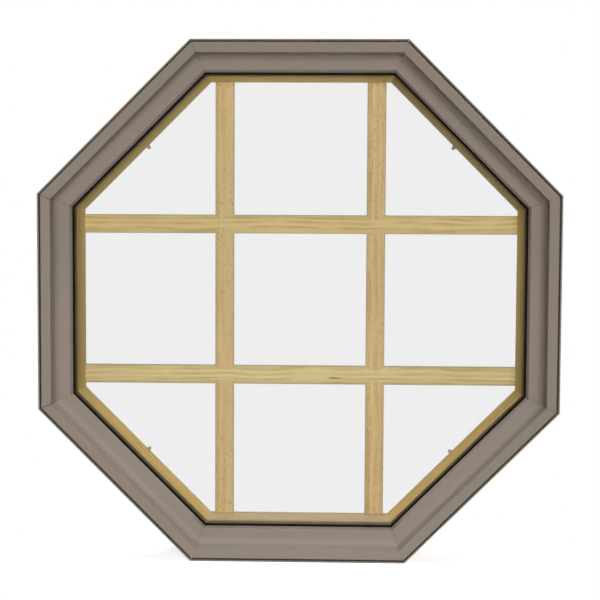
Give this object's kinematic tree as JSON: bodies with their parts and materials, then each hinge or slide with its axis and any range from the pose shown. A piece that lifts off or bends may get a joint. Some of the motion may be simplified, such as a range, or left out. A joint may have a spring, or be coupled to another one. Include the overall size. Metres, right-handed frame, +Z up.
{
  "type": "octagonal window",
  "caption": "Fixed octagonal window: painted metal cladding outside, pine frame and removable bar grille inside, sealed insulating glass between.",
  "frame": {"origin": "middle of the sill's under face, halfway between outside face and room side", "axes": "+X right as seen from outside, +Y from outside to the room, +Z up"},
  "size_m": [0.597, 0.0826, 0.597],
  "materials": {
    "cladding": "satin taupe baked enamel",
    "frame_pine": "clear pine, unfinished",
    "grille_pine": "clear pine, unfinished",
    "glass": "clear float glass",
    "spacer": "matt dark grey",
    "sealant": "matt",
    "gasket": "matt black",
    "tape": "matt",
    "setting_block": "matt",
    "key_metal": "mill",
    "spline_wood": "planed",
    "screw_steel": "zinc plated",
    "pin_nylon": "natural nylon"
  },
  "bodies": {
    "root": {"clad_right": "cladding", "clad_upper_right": "cladding", "clad_head": "cladding", "clad_upper_left": "cladding", "clad_left": "cladding", "clad_lower_left": "cladding", "clad_sill": "cladding", "clad_lower_right": "cladding", "jamb_right": "frame_pine", "jamb_upper_right": "frame_pine", "jamb_head": "frame_pine", "jamb_upper_left": "frame_pine", "jamb_left": "frame_pine", "jamb_lower_left": "frame_pine", "jamb_sill": "frame_pine", "jamb_lower_right": "frame_pine", "outer_pane": "glass", "inner_pane": "glass", "spacer_bar": "spacer", "edge_seal": "sealant", "glazing_gasket": "gasket", "glazing_tape": "tape", "setting_blocks": "setting_block", "corner_keys": "key_metal", "mitre_splines": "spline_wood", "cladding_screws": "screw_steel", "grille_upright_left": "grille_pine", "grille_upright_right": "grille_pine", "grille_rail_upper": "grille_pine", "grille_rail_lower": "grille_pine", "grille_pins": "pin_nylon"}
  },
  "joints": []
}
